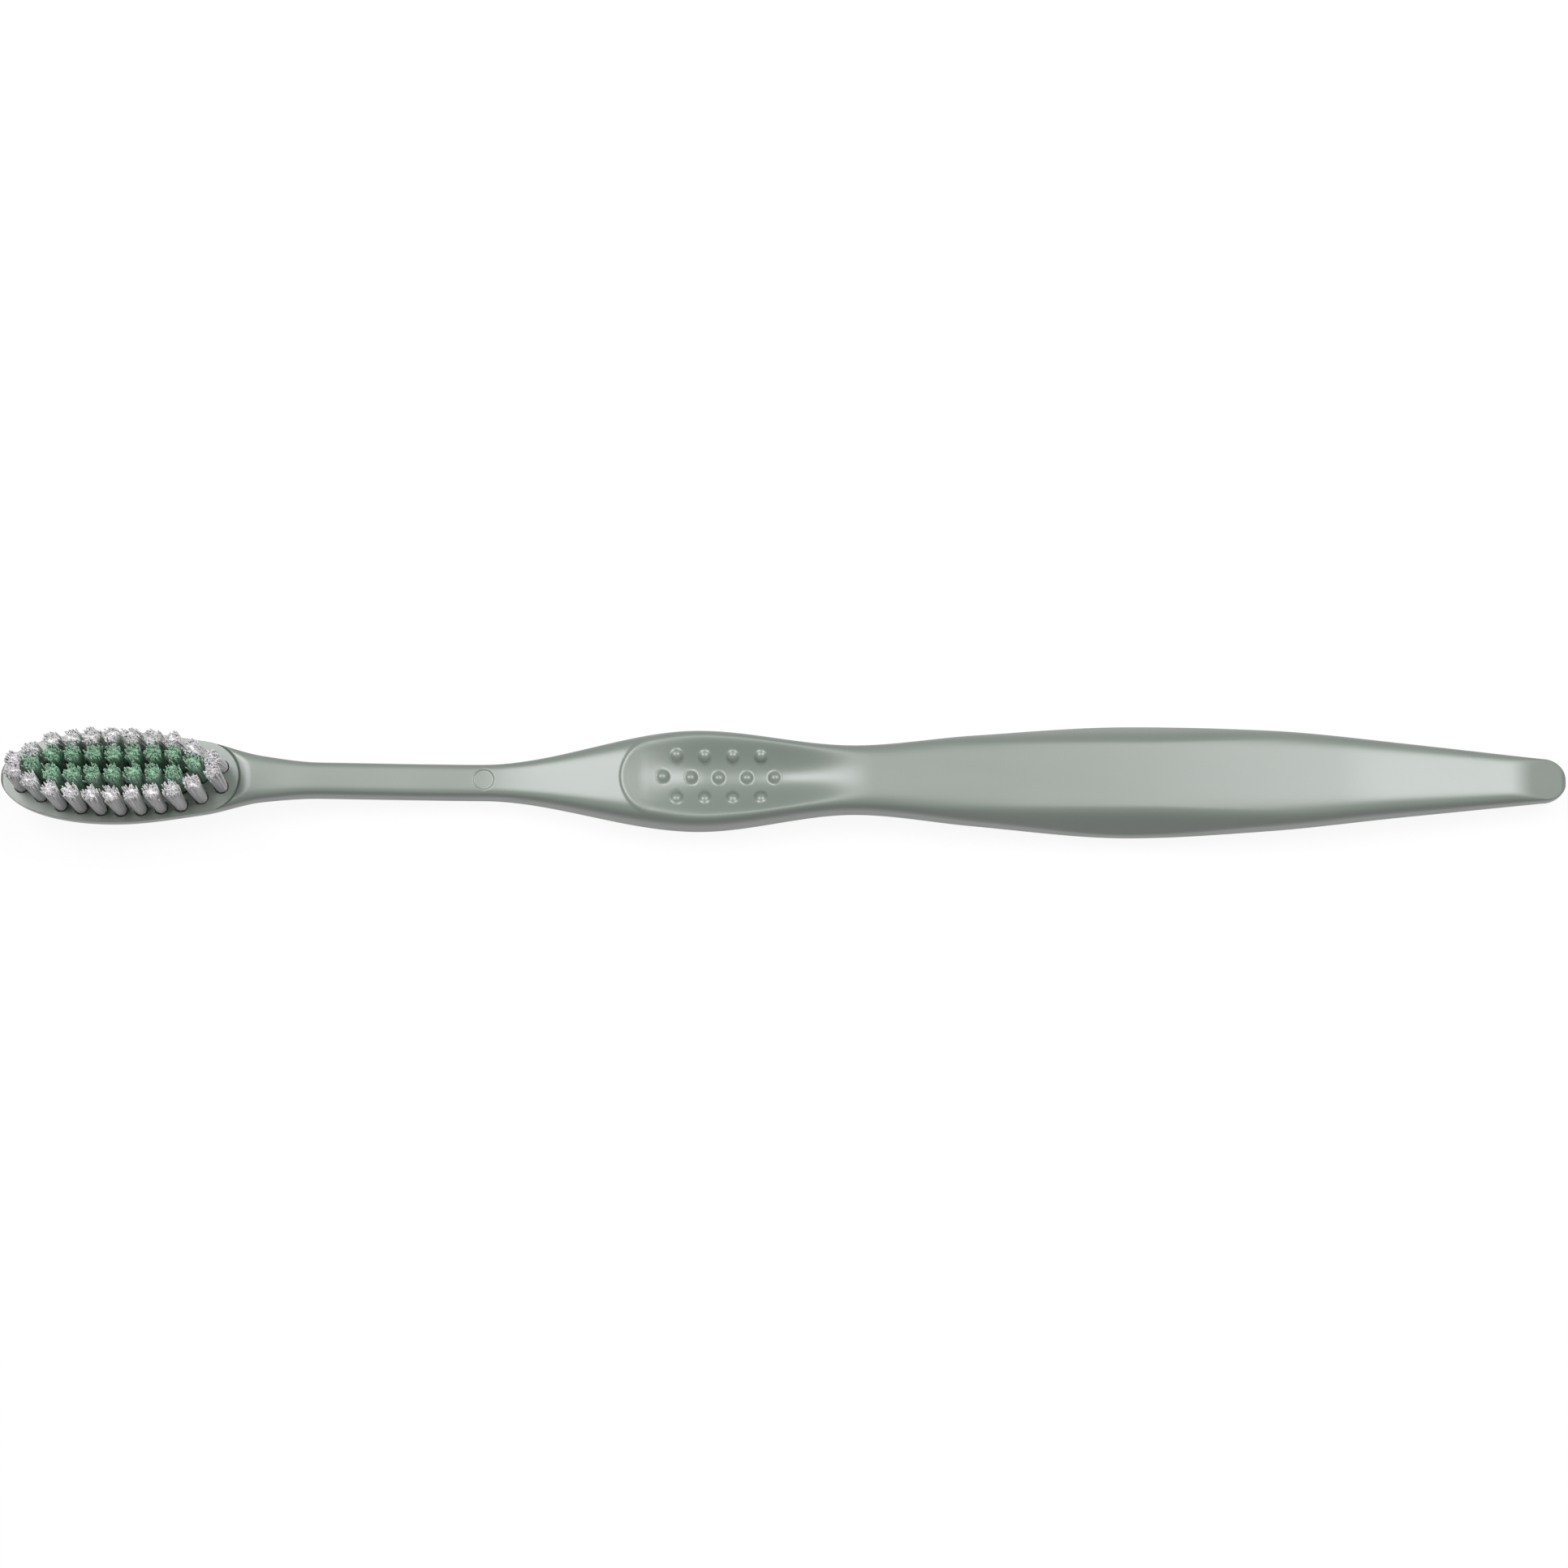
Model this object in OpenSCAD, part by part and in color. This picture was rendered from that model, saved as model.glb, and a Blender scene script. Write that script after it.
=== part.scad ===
// Manual toothbrush, lying on its back with the bristles up.
// The toe of the head points to -X and the tail to +X. Lengths in millimetres.
// The origin is under the middle of the brush, on the table.

/* [Head] */
// Length of the head, from the toe to the step at its heel
head_len = 29; // [27:0.5:31]
// Width of the head at its widest place
head_w = 11.2; // [10.8:0.1:12.4]
// Distance from the toe to the widest place
head_wide_at = 13.8; // [12.8:0.2:15]
// Height of the bristle face above the table
face_z = 7.4; // [7:0.1:8.4]
// Thickness of the head under the bristle face
head_t = 4.8; // [4.4:0.1:5.4]
// Depth of the rounded rim, from the bristle face to the widest line
rim_drop = 0.45; // [0.3:0.05:0.7]
// Height of the step up from the bristle face to the neck
heel_step = 0.7; // [0.4:0.05:1]
// Radius of the rounded step at the heel, seen from above
heel_r = 4.4; // [4:0.1:4.8]
// Length over which the toe rounds down to its tip
toe_round = 3.6; // [2.4:0.2:5]

/* [Neck] */
// Length of the shoulder that narrows from the heel to the neck
shoulder_len = 9.6; // [8:0.2:12]
// Length of the narrow neck
neck_len = 19.6; // [14:0.2:26]
// Width of the neck
neck_w = 4.05; // [3.6:0.05:5]
// Height of the top of the neck where the shoulder ends
neck_top_z = 7.2; // [6.6:0.1:7.8]
// Height of the top of the neck where the thumb swell starts
neck_end_z = 5.7; // [5.2:0.1:7]
// Thickness of the neck there
neck_t = 5.1; // [4.4:0.1:5.6]
// Diameter of the round moulding mark on the neck
mark_d = 2.6; // [1.6:0.1:3]
// Depth of the round moulding mark
mark_depth = 0.12; // [0.08:0.01:0.25]
// Distance of the mark past the end of the neck
mark_after = 0.2; // [0:0.1:3]

/* [Thumb rest] */
// Distance from the end of the neck to the widest place of the thumb rest
thumb_rise = 26.3; // [22:0.2:32]
// Distance from there to the waist
thumb_fall = 18.9; // [15:0.2:24]
// Width of the thumb rest
thumb_w = 11.8; // [11.2:0.1:13.4]
// Thickness of the handle at the thumb rest
thumb_t = 8.9; // [8:0.1:9.8]
// Length of the dished hollow for the thumb
dish_len = 31.6; // [28:0.2:34]
// Width of the rim between the hollow and the side of the handle
dish_rim = 0.6; // [0.5:0.05:1]
// Depth of the hollow
dish_depth = 2.1; // [1.6:0.1:2.8]
// Length of the blunt round end of the hollow
dish_nose = 3.8; // [3:0.1:6]
// Length over which the hollow deepens from that end
dish_lead = 11; // [8:0.5:14]
// How far past the widest place of the thumb rest the hollow starts to run out
dish_hold = 6.5; // [4:0.5:9]
// Distance from the round end of the hollow to the first nub
nub_start = 5.2; // [4.6:0.1:6.4]
// Spacing of the nubs along a row
nub_pitch = 3.42; // [3:0.02:3.6]
// Spacing of the rows of nubs
nub_row_pitch = 2.72; // [2.3:0.05:2.9]
// Diameter of a nub
nub_d = 1.6; // [1.2:0.05:1.9]
// Height of a nub
nub_h = 0.42; // [0.25:0.01:0.55]

/* [Grip] */
// Width of the waist behind the thumb rest
waist_w = 8; // [7.2:0.1:10]
// Thickness of the waist
waist_t = 7.1; // [6:0.1:8]
// Height of the underside of the waist above the table
waist_lift = 1.5; // [0.6:0.1:2.2]
// Distance from the waist to the widest place of the grip
grip_rise = 33.4; // [28:0.2:40]
// Width of the grip
grip_w = 13.4; // [12.4:0.1:15]
// Thickness of the grip
grip_t = 9.04; // [8:0.02:10.4]
// Distance from the widest place of the grip to the end cap
grip_fall = 50.2; // [40:0.2:60]
// Depth by which the underside is flattened where it lies on the table
rest_flat = 0.18; // [0.14:0.01:0.3]
// Width of the two flat lands on which the brush lies
land_w = 3; // [2.4:0.1:3.2]
// Length of each land
land_len = 7; // [5:0.5:8]
// Height of the lands above the underside beside them
land_h = 0.06; // [0.04:0.01:0.08]

/* [Tail] */
// Width of the tail where its round cap starts
tail_w = 5.2; // [4.8:0.1:7]
// Thickness of the tail there
tail_t = 4; // [3.2:0.1:5]
// Height of the underside of the tail above the table
tail_lift = 2.3; // [1.6:0.1:3]
// Length of the round cap
cap_len = 3; // [2.4:0.1:4]
// Length of the sloping face at the tip of the tail
bevel_len = 5.9; // [4.5:0.1:7]
// How far that face falls towards the tip
bevel_drop = 1.9; // [1.2:0.1:2.1]

/* [Bristles] */
// Spacing of the columns of tufts along the head
col_pitch = 2.42; // [2.38:0.01:2.47]
// Distance from the toe to the first column
first_col = 2.6; // [2.5:0.1:3.1]
// Distance of the outermost tufts from the middle line
outer_row_y = 4.06; // [4:0.02:4.3]
// Distance of the inner rows from the middle line
inner_row_y = 1.34; // [1.28:0.01:1.4]
// Diameter of a tuft where it leaves its hole
tuft_d = 1.6; // [1.4:0.05:1.65]
// Gap between a tuft and the wall of its hole
tuft_gap = 0.04; // [0.02:0.01:0.06]
// Depth of the holes
hole_depth = 3; // [2.6:0.1:3.2]
// Length of the bristles above the face
bristle_len = 10.6; // [8:0.1:13]
// Diameter of a strand
strand_d = 0.28; // [0.2:0.01:0.3]
// Number of strands in a tuft
strand_n = 12; // [8:1:13]
// How far the outer strands lean out at their tips
splay = 0.3; // [0:0.02:0.34]
// Largest difference in length between strands
uneven = 0.7; // [0:0.05:1.5]

/* [Anchors] */
// Thickness of the metal anchor in the fold of a tuft
anchor_t = 0.3; // [0.2:0.02:0.36]
// Length of the anchor, which bites into the wall on both sides of the hole
anchor_len = 2.04; // [1.9:0.02:2.2]
// Height of the anchor
anchor_h = 1.4; // [1:0.1:1.6]
// Height of the anchor above the floor of the hole
anchor_lift = 0.45; // [0.35:0.05:0.6]
// Gap round the anchor
anchor_gap = 0.02; // [0.01:0.01:0.04]

/* [Hidden] */
// Overrun of every cut past the surface that it opens
over = 1;

// Places along the brush, measured from the toe
neck_start_s = head_len + shoulder_len;
neck_end_s = neck_start_s + neck_len;
thumb_s = neck_end_s + thumb_rise;
waist_s = thumb_s + thumb_fall;
grip_s = waist_s + grip_rise;
cap_s = grip_s + grip_fall;
brush_len = cap_s + cap_len;
bevel_s = brush_len - bevel_len;
mark_s = neck_end_s + mark_after;
// How far the hollow runs on past the waist
dish_after = 3.1;
// Start of the hollow, at its blunt end
dish_s = waist_s + dish_after - dish_len;
// Power of the hollow's wall: more than 1 rounds it over at its rim
dish_wall_power = 1.3;

// Power of the toe's outline: 2 is an ellipse, more is blunter
toe_power = 2.1;
// Power of the upper half of the section at the head and at the handle
head_top_power = 4.5;
body_top_power = 6.2;
// Power of the lower half of the section at the head and at the handle
head_back_power = 3.2;
body_back_power = 2.3;
// Height of the widest line as a share of the thickness, behind the head
wide_share = 0.3;
// Where the ridge along each side lies, at the waist, grip, rear and tail: shares of the half width
ridge_shares = [1, 0.76, 0.98, 1];
// Width of the flank that falls from the ridge, as a share of the half width
flank_share = 0.36;
// How far the ridge is rounded, as a share of the height above the widest line
ridge_round_share = 0.5;
// How the shoulder narrows: shares of its length, and of its change of width
shoulder_shares = [[0.43, 0.33], [0.72, 0.82]];
// How the grip widens: shares of its length, and of its change of width
grip_rise_shares = [[0.43, 0.49]];
// How the grip tapers to the tail: shares of its length, and of its change of width
grip_fall_shares = [[0.33, 0.18], [0.66, 0.58]];
// Height of the rear of the grip: share of the way to the tail, and of its rise
rear_share = 0.5;
rear_lift_share = 0.55;
rear_top_share = 0.1;

// Rings of the handle's skin: how many lie in each stretch, and points in a ring
toe_rings = 9;
cap_rings = 7;
ring_n = 36;
// How far a ring's points on the top draw in from the sides: less crowds them at the sides
top_spread_power = 0.6;
head_rings = 6;
shoulder_rings = 6;
neck_rings = 6;
rise_rings = 6;
nose_rings = 8;
thumb_rings = 12;
waist_rings = 9;
grip_rings = 15;

// Slope of a curve between two of its keys, each a place and a value
function span_slope(keys, i) = (keys[i + 1][1] - keys[i][1]) / (keys[i + 1][0] - keys[i][0]);

// Slope at a key: flat at the first one and at a crest or trough
function key_slope(keys, i) =
    i == 0 ? 0 : i == len(keys) - 1 ? span_slope(keys, i - 1)
    : let (a = span_slope(keys, i - 1), b = span_slope(keys, i))
      a * b <= 0 ? 0 : 2 * a * b / (a + b);

// Number of the key before place s
function key_before(keys, s, i = 0) =
    i >= len(keys) - 2 || s <= keys[i + 1][0] ? i : key_before(keys, s, i + 1);

// Value at place s of the smooth curve through the keys
function curve(keys, s) =
    let (
        i = key_before(keys, s),
        step = keys[i + 1][0] - keys[i][0],
        t = min(max((s - keys[i][0]) / step, 0), 1),
        eased = t * t * (3 - 2 * t),
        lead_in = t * (1 - t) * (1 - t) * step * key_slope(keys, i),
        lead_out = t * t * (1 - t) * step * key_slope(keys, i + 1)
    )
    keys[i][1] * (1 - eased) + keys[i + 1][1] * eased + lead_in - lead_out;

// A key part of the way from one key to the next
function between(a, b, shares) = [a[0] + (b[0] - a[0]) * shares[0], a[1] + (b[1] - a[1]) * shares[1]];

// Smooth change from 0 to 1 between two places
function ease(from, to, s) = let (t = min(max((s - from) / (to - from), 0), 1)) t * t * (3 - 2 * t);

// Share of the full size that is left near a rounded end
function round_end(d, len, power) = d >= len ? 1 : pow(max(1 - pow(1 - d / len, power), 0), 1 / power);

// Keys of the half width, seen from above
head_key = [head_wide_at, head_w / 2];
neck_key = [neck_start_s, neck_w / 2];
neck_end_key = [neck_end_s, neck_w / 2];
thumb_key = [thumb_s, thumb_w / 2];
waist_key = [waist_s, waist_w / 2];
grip_key = [grip_s, grip_w / 2];
cap_key = [cap_s, tail_w / 2];
width_keys = concat(
    [head_key], [for (p = shoulder_shares) between(head_key, neck_key, p)],
    [neck_key, neck_end_key, thumb_key, waist_key],
    [for (p = grip_rise_shares) between(waist_key, grip_key, p)],
    [grip_key], [for (p = grip_fall_shares) between(grip_key, cap_key, p)], [cap_key]);

// Keys of the top line and of the underside, seen from the side
rear_s = grip_s + grip_fall * rear_share;
grip_top = grip_t - rest_flat;
tail_top = tail_lift + tail_t;
top_keys = [
    [0, face_z + heel_step], [head_len, face_z + heel_step], [neck_start_s, neck_top_z],
    [neck_end_s, neck_end_z], [thumb_s, thumb_t - rest_flat],
    [waist_s, waist_lift + waist_t], [grip_s, grip_top],
    [rear_s, grip_top + (tail_top - grip_top) * rear_top_share], [cap_s, tail_top]];
bottom_keys = [
    [0, face_z - head_t], [head_len, face_z - head_t], [neck_end_s, neck_end_z - neck_t],
    [thumb_s - land_len, -rest_flat], [thumb_s, -rest_flat], [waist_s, waist_lift],
    [grip_s, -rest_flat], [rear_s, tail_lift * rear_lift_share], [cap_s, tail_lift]];

ridge_keys = [
    [waist_s, ridge_shares[0]], [grip_s, ridge_shares[1]],
    [rear_s, ridge_shares[2]], [cap_s, ridge_shares[3]]];

// Shape of the handle at a place
function end_share(s) = min(round_end(s, toe_round, 2), round_end(brush_len - s, cap_len, 2));
function half_w(s) =
    curve(width_keys, s) * round_end(s, head_wide_at, toe_power) * round_end(brush_len - s, cap_len, 2);
function to_neck(s) = ease(head_len - heel_r, neck_start_s, s);
function wide_z(s) =
    let (low = curve(bottom_keys, s), middle = low + (curve(top_keys, s) - low) * wide_share)
    (face_z - rim_drop) * (1 - to_neck(s)) + middle * to_neck(s);
function top_power(s) = head_top_power * (1 - to_neck(s)) + body_top_power * to_neck(s);
function back_power(s) = head_back_power * (1 - to_neck(s)) + body_back_power * to_neck(s);
function up_h(s) = (curve(top_keys, s) - wide_z(s)) * end_share(s);
function down_h(s) = (wide_z(s) - curve(bottom_keys, s)) * end_share(s);

// Share of the height at a share of the half width, lowered where the flank cuts it
function with_ridge(s, out_share, high_share) =
    let (
        flank = 1 + (curve(ridge_keys, s) - out_share) / flank_share,
        part = min(max((1 + (flank - high_share) / ridge_round_share) / 2, 0), 1)
    )
    max(flank * (1 - part) + high_share * part - ridge_round_share * part * (1 - part), 0);

// Depth of the thumb's hollow at a place
function dish(s, y) =
    s <= dish_s || s >= dish_s + dish_len ? 0
    : let (
        before = max(1 - (s - dish_s) / dish_nose, 0),
        inside = max(1 - pow(before, 2) - pow(y / (half_w(s) - dish_rim), 2), 0),
        along = ease(dish_s, dish_s + dish_lead, s) * (1 - ease(thumb_s + dish_hold, dish_s + dish_len, s))
    )
    dish_depth * along * pow(inside, dish_wall_power);

// Height of the handle's top at a place
function top_at(s, y) =
    let (
        out_share = abs(y) / half_w(s),
        high_share = pow(max(1 - pow(out_share, top_power(s)), 0), 1 / top_power(s))
    )
    wide_z(s) + up_h(s) * with_ridge(s, out_share, high_share) - dish(s, y);

// Point of the skin at a place, turned round the section
function skin_point(s, turn) =
    let (
        up = sin(turn) >= 0,
        power = up ? top_spread_power : 2 / back_power(s),
        y = half_w(s) * sign(cos(turn)) * pow(abs(cos(turn)), power),
        drop = down_h(s) * pow(abs(sin(turn)), power)
    )
    [s - brush_len / 2, y, up ? top_at(s, y) : wide_z(s) - drop];

// Places of rings spread evenly after one place, up to and with another
function spread(from, to, n) = [for (i = [1 : n]) from + (to - from) * i / n];
ring_s = concat(
    [for (i = [1 : toe_rings]) head_wide_at * (1 - cos(90 * i / toe_rings))],
    spread(head_wide_at, head_len, head_rings),
    spread(head_len, neck_start_s, shoulder_rings),
    spread(neck_start_s, neck_end_s, neck_rings),
    spread(neck_end_s, dish_s, rise_rings),
    spread(dish_s, dish_s + dish_nose, nose_rings),
    spread(dish_s + dish_nose, dish_s + dish_len, thumb_rings),
    spread(dish_s + dish_len, grip_s, waist_rings),
    spread(grip_s, cap_s, grip_rings),
    [for (i = [1 : cap_rings - 1]) cap_s + cap_len * sin(90 * i / cap_rings)]);

// Outer skin of the handle, as rings from the toe to the tail
module skin() {
    last = len(ring_s) * ring_n + 1;
    toe_point = [-brush_len / 2, 0, wide_z(0)];
    tail_point = [brush_len / 2, 0, wide_z(brush_len)];
    rings = [for (s = ring_s) for (j = [0 : ring_n - 1]) skin_point(s, 360 * j / ring_n)];
    toe_fan = [for (j = [0 : ring_n - 1]) [0, 1 + j, 1 + (j + 1) % ring_n]];
    tail_fan = [for (j = [0 : ring_n - 1]) [last, last - 1 - j, last - 1 - (j + 1) % ring_n]];
    sides = [for (i = [0 : len(ring_s) - 2]) for (j = [0 : ring_n - 1])
        let (
            a = 1 + i * ring_n + j,
            b = 1 + i * ring_n + (j + 1) % ring_n,
            c = a + ring_n,
            d = b + ring_n
        )
        each [[a, c, b], [b, c, d]]];
    polyhedron(concat([toe_point], rings, [tail_point]), concat(toe_fan, sides, tail_fan));
}

// Share of the step's radius, back from its crest, where the face opens to full width
heel_open_share = 0.6;

// Space above the bristle face, with the rounded step at the heel
module face_cut() {
    depth = heel_step + over;
    arc_x = head_len - heel_r - brush_len / 2;
    translate([-brush_len / 2 - over, -head_w, face_z])
        cube([head_len - heel_r * heel_open_share + over, 2 * head_w, depth]);
    translate([arc_x, 0, face_z])
        cylinder(h = depth, r1 = heel_r, r2 = heel_r + depth, $fn = 96);
}

// Shares of the outer and inner rows' distances at each column, from the toe to the heel
outer_row_shares = [0.28, 0.57, 0.85, 0.93, 0.98, 1, 0.98, 0.93, 0.86, 0.63, 0.3];
inner_row_shares = [0, 0, 0.96, 0.99, 1, 1, 1, 0.98, 0.95, 0, 0];
last_col = len(outer_row_shares) - 1;
function col_x(i) = first_col + col_pitch * i - brush_len / 2;
white_spots = [for (side = [-1, 1]) for (i = [0 : last_col])
    [col_x(i), side * outer_row_y * outer_row_shares[i]]];
// The columns next to the ends have one green tuft, on the middle line
green_middle = [for (i = [1, last_col - 1]) [col_x(i), 0]];
green_spots = concat(green_middle, [for (side = [-1, 1]) for (i = [2 : last_col - 2])
    [col_x(i), side * inner_row_y * inner_row_shares[i]]]);
all_spots = concat(white_spots, green_spots);
hole_d = tuft_d + 2 * tuft_gap;
floor_z = face_z - hole_depth;

// Metal anchor, made larger on every side by a gap
module anchor(gap) {
    translate([0, 0, floor_z + anchor_lift + anchor_h / 2])
        cube([anchor_len + 2 * gap, anchor_t + 2 * gap, anchor_h + 2 * gap], center = true);
}

// One hole of the head, with the slits that its anchor cuts into the wall
module tuft_hole() {
    translate([0, 0, floor_z]) cylinder(h = hole_depth + over, d = hole_d, $fn = 48);
    anchor(anchor_gap);
}

// Domed nub of the thumb rest, standing in the hollow
module nub(s, y) {
    nub_r = (pow(nub_d / 2, 2) + pow(nub_h, 2)) / (2 * nub_h);
    translate([s - brush_len / 2, y, top_at(s, y) + nub_h - nub_r]) sphere(r = nub_r, $fn = 48);
}

// Nubs in each row across the hollow, and how far each row starts back, in nub pitches
nub_rows = [[-1, 4, 0.5], [0, 5, 0], [1, 4, 0.5]];

module nubs() {
    for (row = nub_rows) for (i = [0 : row[1] - 1])
        nub(dish_s + nub_start + (i + row[2]) * nub_pitch, row[0] * nub_row_pitch);
}

// Places of the lands' middles: one under the thumb rest, one under the widest grip
land_spots = [thumb_s - land_len / 2, grip_s];

// All that lies under the table, and beside the lands all that lies under their tops
module table_cut() {
    difference() {
        translate([-brush_len, -grip_w, -over]) cube([2 * brush_len, 2 * grip_w, over + land_h]);
        for (s = land_spots) translate([s - land_len / 2 - brush_len / 2, -land_w / 2, 0])
            cube([land_len, land_w, over]);
    }
}

// All that lies above the sloping face at the tip of the tail
module tail_cut() {
    translate([bevel_s - brush_len / 2, 0, top_at(bevel_s, 0)])
        rotate([0, atan2(bevel_drop, bevel_len), 0])
        translate([-over, -grip_w, 0])
        cube([2 * bevel_len, 2 * grip_w, tail_t]);
}

module handle() {
    color("#9caaa2") difference() {
        union() {
            skin();
            nubs();
        }
        face_cut();
        for (spot = all_spots) translate(spot) tuft_hole();
        translate([mark_s - brush_len / 2, 0, top_at(mark_s, 0) - mark_depth])
            cylinder(h = over, d = mark_d, $fn = 48);
        table_cut();
        tail_cut();
    }
}

// Shares of the bristles' length at which a strand has its rings
strand_ring_shares = [0, 0.5, 1];
// Depth to which the strands are fused into the tuft's base
strand_root = 0.4;
strand_sides = 3;
// Turn from each strand to the next, which spreads them evenly over a circle
even_turn = 137.5;
// Multiplier whose remainders scatter the strands' lengths
scatter = 0.618;

// One strand: it starts upright and leans outwards towards its tip
module strand(i, seed) {
    root_r = (tuft_d - strand_d) / 2 - tuft_gap;
    out_share = sqrt((i + 0.5) / strand_n);
    turn = even_turn * (i + seed);
    long = bristle_len - uneven * ((i + seed) * scatter % 1);
    points = [for (f = strand_ring_shares) for (k = [0 : strand_sides - 1])
        let (
            r = root_r * out_share + splay * out_share * f * f,
            corner = turn + 360 * k / strand_sides
        )
        [r * cos(turn) + strand_d / 2 * cos(corner), r * sin(turn) + strand_d / 2 * sin(corner),
         f == 0 ? -strand_root : long * f]];
    first = [for (k = [0 : strand_sides - 1]) k];
    last = [for (k = [1 : strand_sides]) len(points) - k];
    sides = [for (ring = [0 : len(strand_ring_shares) - 2]) for (k = [0 : strand_sides - 1])
        let (
            a = ring * strand_sides + k,
            b = ring * strand_sides + (k + 1) % strand_sides
        )
        each [[a, a + strand_sides, b], [b, a + strand_sides, b + strand_sides]]];
    polyhedron(points, concat([first, last], sides));
}

// One tuft: its folded base fills the hole, and its strands stand on the base
module tuft(spot, seed) {
    translate(spot) {
        difference() {
            translate([0, 0, floor_z + tuft_gap])
                cylinder(h = hole_depth - tuft_gap, d = tuft_d, $fn = 48);
            anchor(anchor_gap);
        }
        translate([0, 0, face_z]) for (i = [0 : strand_n - 1]) strand(i, seed);
    }
}

module white_tuft(i) {
    color("#d4d2cd") tuft(white_spots[i], i);
}

module green_tuft(i) {
    color("#6f9c80") tuft(green_spots[i], i + len(white_spots));
}

module tuft_anchors() {
    color("#c9a24a") for (spot = all_spots) translate(spot) anchor(0);
}

// A number written with two figures
function two_figures(n) = str(n < 10 ? "0" : "", n);
white_names = [for (i = [1 : len(white_spots)]) str("white_tuft_", two_figures(i))];
green_names = [for (i = [1 : len(green_spots)]) str("green_tuft_", two_figures(i))];

handle();
tuft_anchors();
for (i = [0 : len(white_spots) - 1]) white_tuft(i);
for (i = [0 : len(green_spots) - 1]) green_tuft(i);
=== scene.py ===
"""Looks of the manual toothbrush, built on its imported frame.

Sizes in this script are millimetres, as in the part's source, and turn into
Blender's metres where a mesh is made. A place along the brush, called s, is
measured from the toe of the head.
"""
import math

import bpy
import numpy as np
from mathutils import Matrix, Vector


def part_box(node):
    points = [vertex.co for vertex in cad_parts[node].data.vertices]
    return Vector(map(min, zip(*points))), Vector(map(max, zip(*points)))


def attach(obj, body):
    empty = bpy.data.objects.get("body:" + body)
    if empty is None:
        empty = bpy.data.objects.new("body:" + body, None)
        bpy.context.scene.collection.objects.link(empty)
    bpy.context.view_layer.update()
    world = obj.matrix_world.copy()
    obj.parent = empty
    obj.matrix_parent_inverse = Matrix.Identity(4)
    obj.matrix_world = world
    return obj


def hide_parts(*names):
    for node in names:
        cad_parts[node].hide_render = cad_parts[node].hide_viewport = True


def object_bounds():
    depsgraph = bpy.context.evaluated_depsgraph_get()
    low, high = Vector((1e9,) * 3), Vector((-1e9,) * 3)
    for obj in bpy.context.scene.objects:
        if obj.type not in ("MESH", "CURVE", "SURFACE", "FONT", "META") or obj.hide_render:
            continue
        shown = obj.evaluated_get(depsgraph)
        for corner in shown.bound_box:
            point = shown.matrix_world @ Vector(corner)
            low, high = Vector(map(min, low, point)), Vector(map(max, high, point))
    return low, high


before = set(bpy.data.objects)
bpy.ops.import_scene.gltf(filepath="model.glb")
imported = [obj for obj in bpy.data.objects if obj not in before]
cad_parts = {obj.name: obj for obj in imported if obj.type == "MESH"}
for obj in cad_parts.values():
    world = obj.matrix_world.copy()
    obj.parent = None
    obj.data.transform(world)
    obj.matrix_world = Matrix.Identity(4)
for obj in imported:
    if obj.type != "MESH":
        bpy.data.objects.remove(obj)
cad_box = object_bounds()

MM = 0.001
BODY = "root"
HANDLE_LOW, HANDLE_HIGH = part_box("handle")
BRUSH_LEN = (HANDLE_HIGH.x - HANDLE_LOW.x) / MM

# Head
HEAD_LEN = 29
HEAD_W = 11.2
HEAD_WIDE_AT = 13.8
FACE_Z = 7.4
HEAD_T = 4.8
RIM_DROP = 0.45
RIM_ROUND = 0.14
TOE_ROUND = 3.6

# Curved step at the heel: a wall that starts a little before its line, then a slope
HEEL_STEP = 0.7
HEEL_R = 4.4
HEEL_OPEN = 0.6 * HEEL_R
HEEL_WALL_H = 0.5
HEEL_WALL_LEN = 0.25
HEEL_SLOPE_LEN = 0.95
HEEL_LEAD = 0.15

# Neck, and the round moulding mark at its end
SHOULDER_LEN = 9.6
NECK_LEN = 19.6
NECK_W = 4.05
NECK_TOP_Z = 7.2
NECK_END_Z = 5.7
NECK_T = 5.1
MARK_D = 2.6
MARK_DEPTH = 0.12
MARK_AFTER = 0.2
MARK_EDGE = 0.12

# Thumb rest, with its hollow
THUMB_RISE = 26.3
THUMB_FALL = 18.9
THUMB_W = 11.8
THUMB_T = 8.9
DISH_LEN = 31.6
DISH_RIM = 0.6
DISH_DEPTH = 2.1
DISH_NOSE = 3.8
DISH_AFTER = 3.1
DISH_LEAD = 11
DISH_HOLD = 6.5
DISH_WALL_POWER = 1.3

# Lip round the hollow's blunt end: where it rises and falls, from the outline inwards, and where
# it fades out along the brush, from the blunt end on
LIP_H = 0.14
LIP_RISE = (0, 0.3)
LIP_FALL = (0.4, 2)
LIP_FADE = (3, 9)
# Distance from the outline to the middle of the hollow there
LIP_REACH = 5

# Nubs in the hollow: the side of each row, how many it has, and the pitches before its first one
MIDDLE_NUBS = 5
NUB_ROWS = ((-1, MIDDLE_NUBS - 1, 0.5), (0, MIDDLE_NUBS, 0), (1, MIDDLE_NUBS - 1, 0.5))
NUB_START = 5.2
NUB_PITCH = 3.42
NUB_ROW_PITCH = 2.72
NUB_D = 1.6
NUB_H = 0.42
NUB_FILLET = 0.1

# Grip and tail
WAIST_W = 8
WAIST_T = 7.1
WAIST_LIFT = 1.5
GRIP_RISE = 33.4
GRIP_W = (HANDLE_HIGH.y - HANDLE_LOW.y) / MM
GRIP_T = 9.04
TAIL_W = 5.2
TAIL_T = 4
TAIL_LIFT = 2.3
CAP_LEN = 3
BEVEL_LEN = 5.9
BEVEL_DROP = 1.9
BEVEL_ROUND = 0.35

# The two lands underneath: how much is flattened off there, and their size
REST_FLAT = 0.18
LAND_W = 3
LAND_LEN = 7
LAND_H = 0.06

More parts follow.
